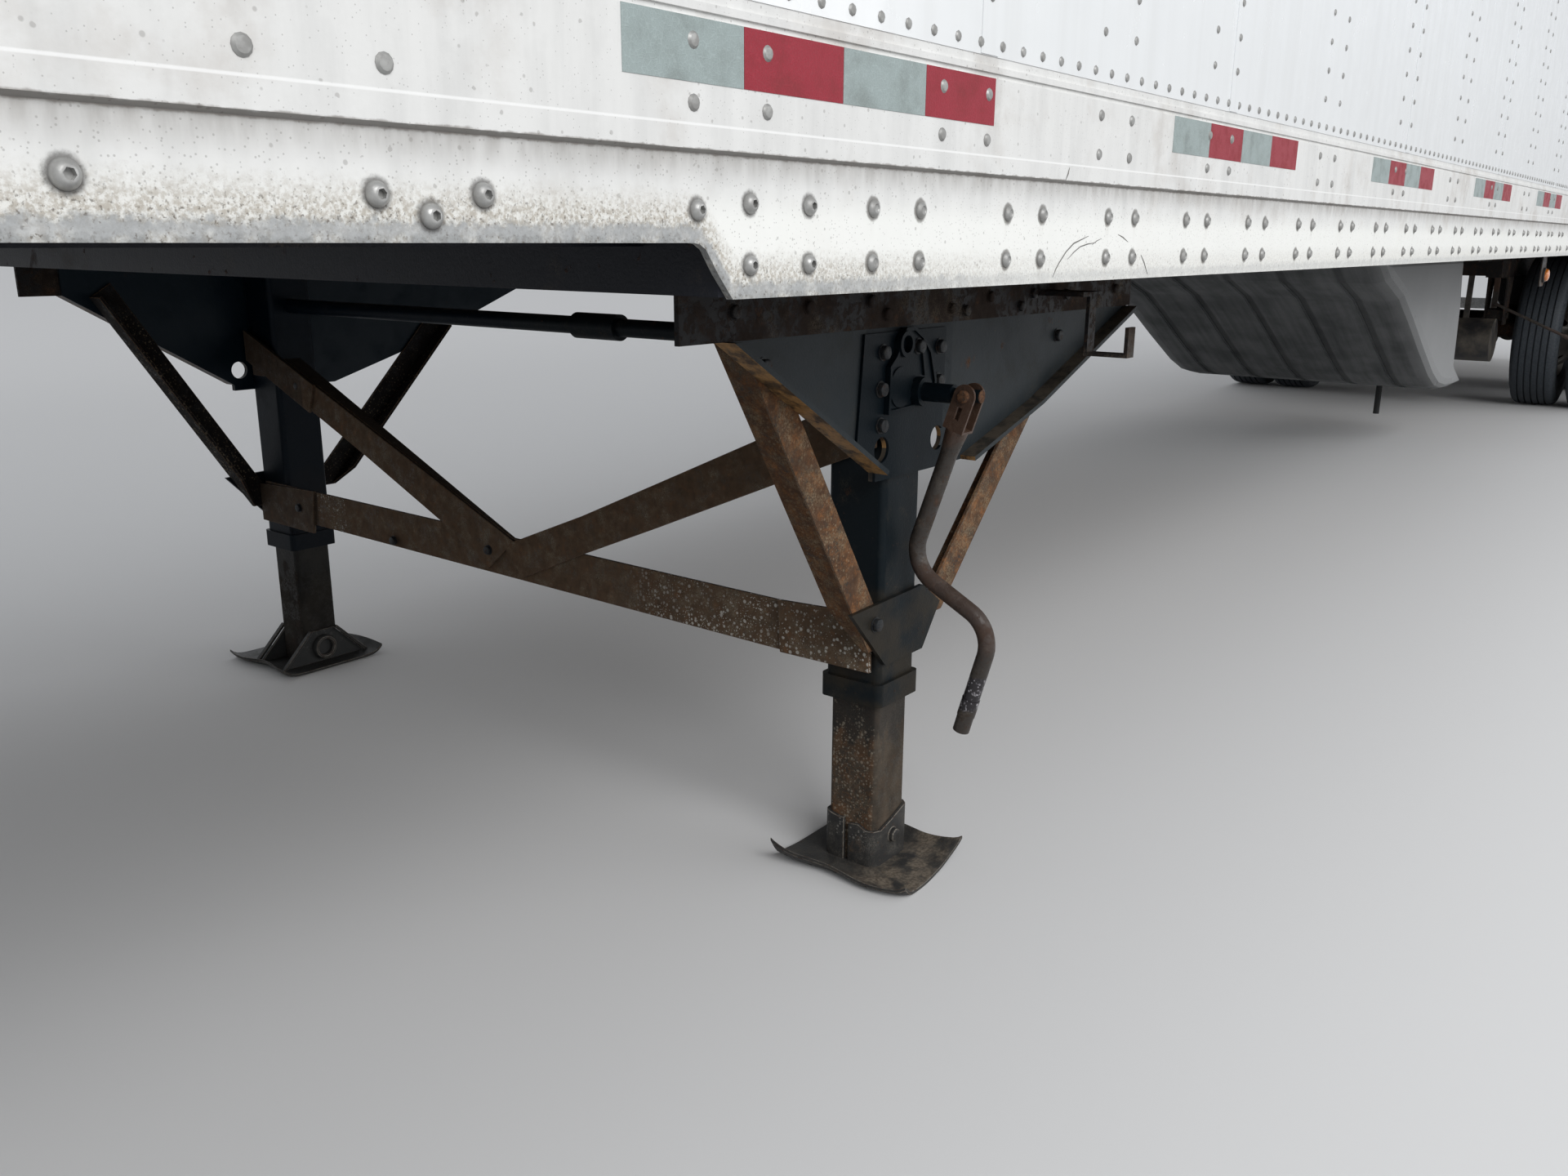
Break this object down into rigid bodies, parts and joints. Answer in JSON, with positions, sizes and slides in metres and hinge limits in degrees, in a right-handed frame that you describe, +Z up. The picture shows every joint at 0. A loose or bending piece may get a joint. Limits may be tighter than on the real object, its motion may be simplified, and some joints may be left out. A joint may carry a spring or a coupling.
{
  "type": "dry van semi trailer",
  "caption": "Dry van semi trailer parked on its landing gear, with riveted white sides, swing rear doors, a sliding tandem with twin wheels and an underbody fairing.",
  "frame": {"origin": "on the ground under the middle of the whole trailer", "axes": "+X to the nose, +Y to the left side, +Z up"},
  "size_m": [16.304, 2.591, 4.11],
  "materials": {
    "amber_lens": "amber lens",
    "cast_iron": "rusted casting",
    "chassis_steel": "dark coating with rust",
    "fairing_plastic": "moulded pale plastic, road dirt",
    "floor_wood": "worn laminated boards",
    "galvanised": "galvanised, dull",
    "gear_steel": "blue-black paint with rust",
    "greasy_steel": "dark grease and dust",
    "kingpin_steel": "bare greased steel",
    "rail_aluminium": "weathered, streaked and grimed extrusion",
    "red_lens": "red lens",
    "roof_aluminium": "dull sheet",
    "rubber_black": "moulded black rubber",
    "rusty_steel": "rust over old black paint",
    "tank_paint": "black paint, dusty",
    "tyre_rubber": "worn tread, dusty side walls",
    "wheel_paint": "white painted steel disc",
    "white_sheet": "glossy white sheet with rivets"
  },
  "bodies": {
    "trailer": {"air_springs": "rubber_black", "air_tank": "tank_paint", "amber_lamps": "amber_lens", "axles": "chassis_steel", "body_slide_rails": "chassis_steel", "bottom_rail_left": "rail_aluminium", "bottom_rail_right": "rail_aluminium", "brake_chambers": "tank_paint", "crank_handle": "rusty_steel", "cross_brace": "rusty_steel", "cross_members": "chassis_steel", "cross_shaft": "gear_steel", "dock_bumpers": "rubber_black", "drain_tube": "rubber_black", "floor": "floor_wood", "fore_aft_braces": "rusty_steel", "front_connectors": "galvanised", "front_corner_posts": "rail_aluminium", "front_wall": "white_sheet", "gearbox_cover": "gear_steel", "kingpin": "kingpin_steel", "landing_legs": "gear_steel", "lower_legs": "greasy_steel", "mounting_channels": "chassis_steel", "mud_flaps": "rubber_black", "pin_pull": "rusty_steel", "rear_guard": "galvanised", "rear_header": "galvanised", "rear_post_left": "galvanised", "rear_post_right": "galvanised", "rear_sill": "galvanised", "red_lamps": "red_lens", "roof": "roof_aluminium", "sand_shoes": "greasy_steel", "side_wall_left": "white_sheet", "side_wall_right": "white_sheet", "slider_frame": "chassis_steel", "suspension_hangers": "chassis_steel", "top_rails": "rail_aluminium", "trailing_arms": "chassis_steel", "underbody_fairing": "fairing_plastic", "upper_coupler": "chassis_steel", "wing_plates": "gear_steel"},
    "door_left": {"door_panel_left": "white_sheet", "door_hardware_left": "galvanised"},
    "twin_front_left": {"tyres_front_left": "tyre_rubber", "wheels_front_left": "wheel_paint", "hub_front_left": "cast_iron"},
    "twin_rear_left": {"tyres_rear_left": "tyre_rubber", "wheels_rear_left": "wheel_paint", "hub_rear_left": "cast_iron"},
    "door_right": {"door_panel_right": "white_sheet", "door_hardware_right": "galvanised"},
    "twin_front_right": {"tyres_front_right": "tyre_rubber", "wheels_front_right": "wheel_paint", "hub_front_right": "cast_iron"},
    "twin_rear_right": {"tyres_rear_right": "tyre_rubber", "wheels_rear_right": "wheel_paint", "hub_rear_right": "cast_iron"}
  },
  "joints": [
    {"name": "door_left_swing", "type": "hinge", "parent": "trailer", "child": "door_left", "pos_m": [-8.112, 1.2845, 2.58], "axis": [0, 0, -1], "range_deg": [0, 265]},
    {"name": "wheel_front_left_spin", "type": "hinge", "parent": "trailer", "child": "twin_front_left", "pos_m": [-4.13, 0.9815, 0.51], "axis": [0, 1, 0], "continuous": true},
    {"name": "wheel_rear_left_spin", "type": "hinge", "parent": "trailer", "child": "twin_rear_left", "pos_m": [-5.375, 0.9815, 0.51], "axis": [0, 1, 0], "continuous": true},
    {"name": "door_right_swing", "type": "hinge", "parent": "trailer", "child": "door_right", "pos_m": [-8.112, -1.2845, 2.58], "axis": [0, 0, 1], "range_deg": [0, 265]},
    {"name": "wheel_front_right_spin", "type": "hinge", "parent": "trailer", "child": "twin_front_right", "pos_m": [-4.13, -0.9815, 0.51], "axis": [0, 1, 0], "continuous": true},
    {"name": "wheel_rear_right_spin", "type": "hinge", "parent": "trailer", "child": "twin_rear_right", "pos_m": [-5.375, -0.9815, 0.51], "axis": [0, 1, 0], "continuous": true}
  ]
}
